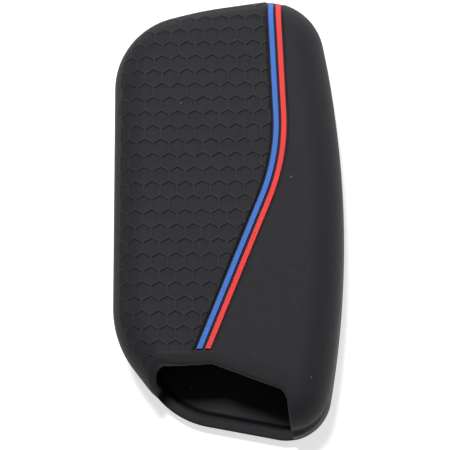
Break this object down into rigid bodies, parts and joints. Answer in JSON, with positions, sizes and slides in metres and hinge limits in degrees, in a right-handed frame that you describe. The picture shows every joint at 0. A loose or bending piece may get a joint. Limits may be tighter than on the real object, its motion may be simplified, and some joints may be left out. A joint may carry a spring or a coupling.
{
  "type": "key fob cover",
  "caption": "Soft slip-on cover for a slim car key fob, with a honeycomb back, colour stripes, flexing button pads and a notched mouth that lets the key ring out.",
  "frame": {"origin": "middle of the bounding box at the button face, which the cover lies on", "axes": "+X across the cover to its closed leg, +Y along it to the closed top, +Z from the button face up to the honeycomb back; the mouth faces -Y"},
  "size_m": [0.0459, 0.0877, 0.018],
  "materials": {
    "silicone": "matt moulded silicone",
    "grip": "matt moulded silicone ridges",
    "stripe_blue": "matt silicone fill",
    "stripe_red": "matt silicone fill",
    "pad": "matt moulded silicone",
    "web": "thin matt silicone"
  },
  "bodies": {
    "cover": {"cover_shell": "silicone", "honeycomb_grip": "grip", "blue_stripe": "stripe_blue", "red_stripe": "stripe_red", "lock_web": "web", "unlock_web": "web", "boot_web": "web"},
    "lock_button": {"lock_pad": "pad"},
    "unlock_button": {"unlock_pad": "pad"},
    "boot_button": {"boot_pad": "pad"}
  },
  "joints": [
    {"name": "lock_press", "type": "slide", "parent": "cover", "child": "lock_button", "axis": [0, 0, 1], "range_m": [0, 0.0008], "stiffness_N_per_m": 2500, "deforming": ["lock_web"]},
    {"name": "unlock_press", "type": "slide", "parent": "cover", "child": "unlock_button", "axis": [0, 0, 1], "range_m": [0, 0.0008], "stiffness_N_per_m": 2500, "deforming": ["unlock_web"]},
    {"name": "boot_press", "type": "slide", "parent": "cover", "child": "boot_button", "axis": [0, 0, 1], "range_m": [0, 0.0008], "stiffness_N_per_m": 2500, "deforming": ["boot_web"]}
  ]
}
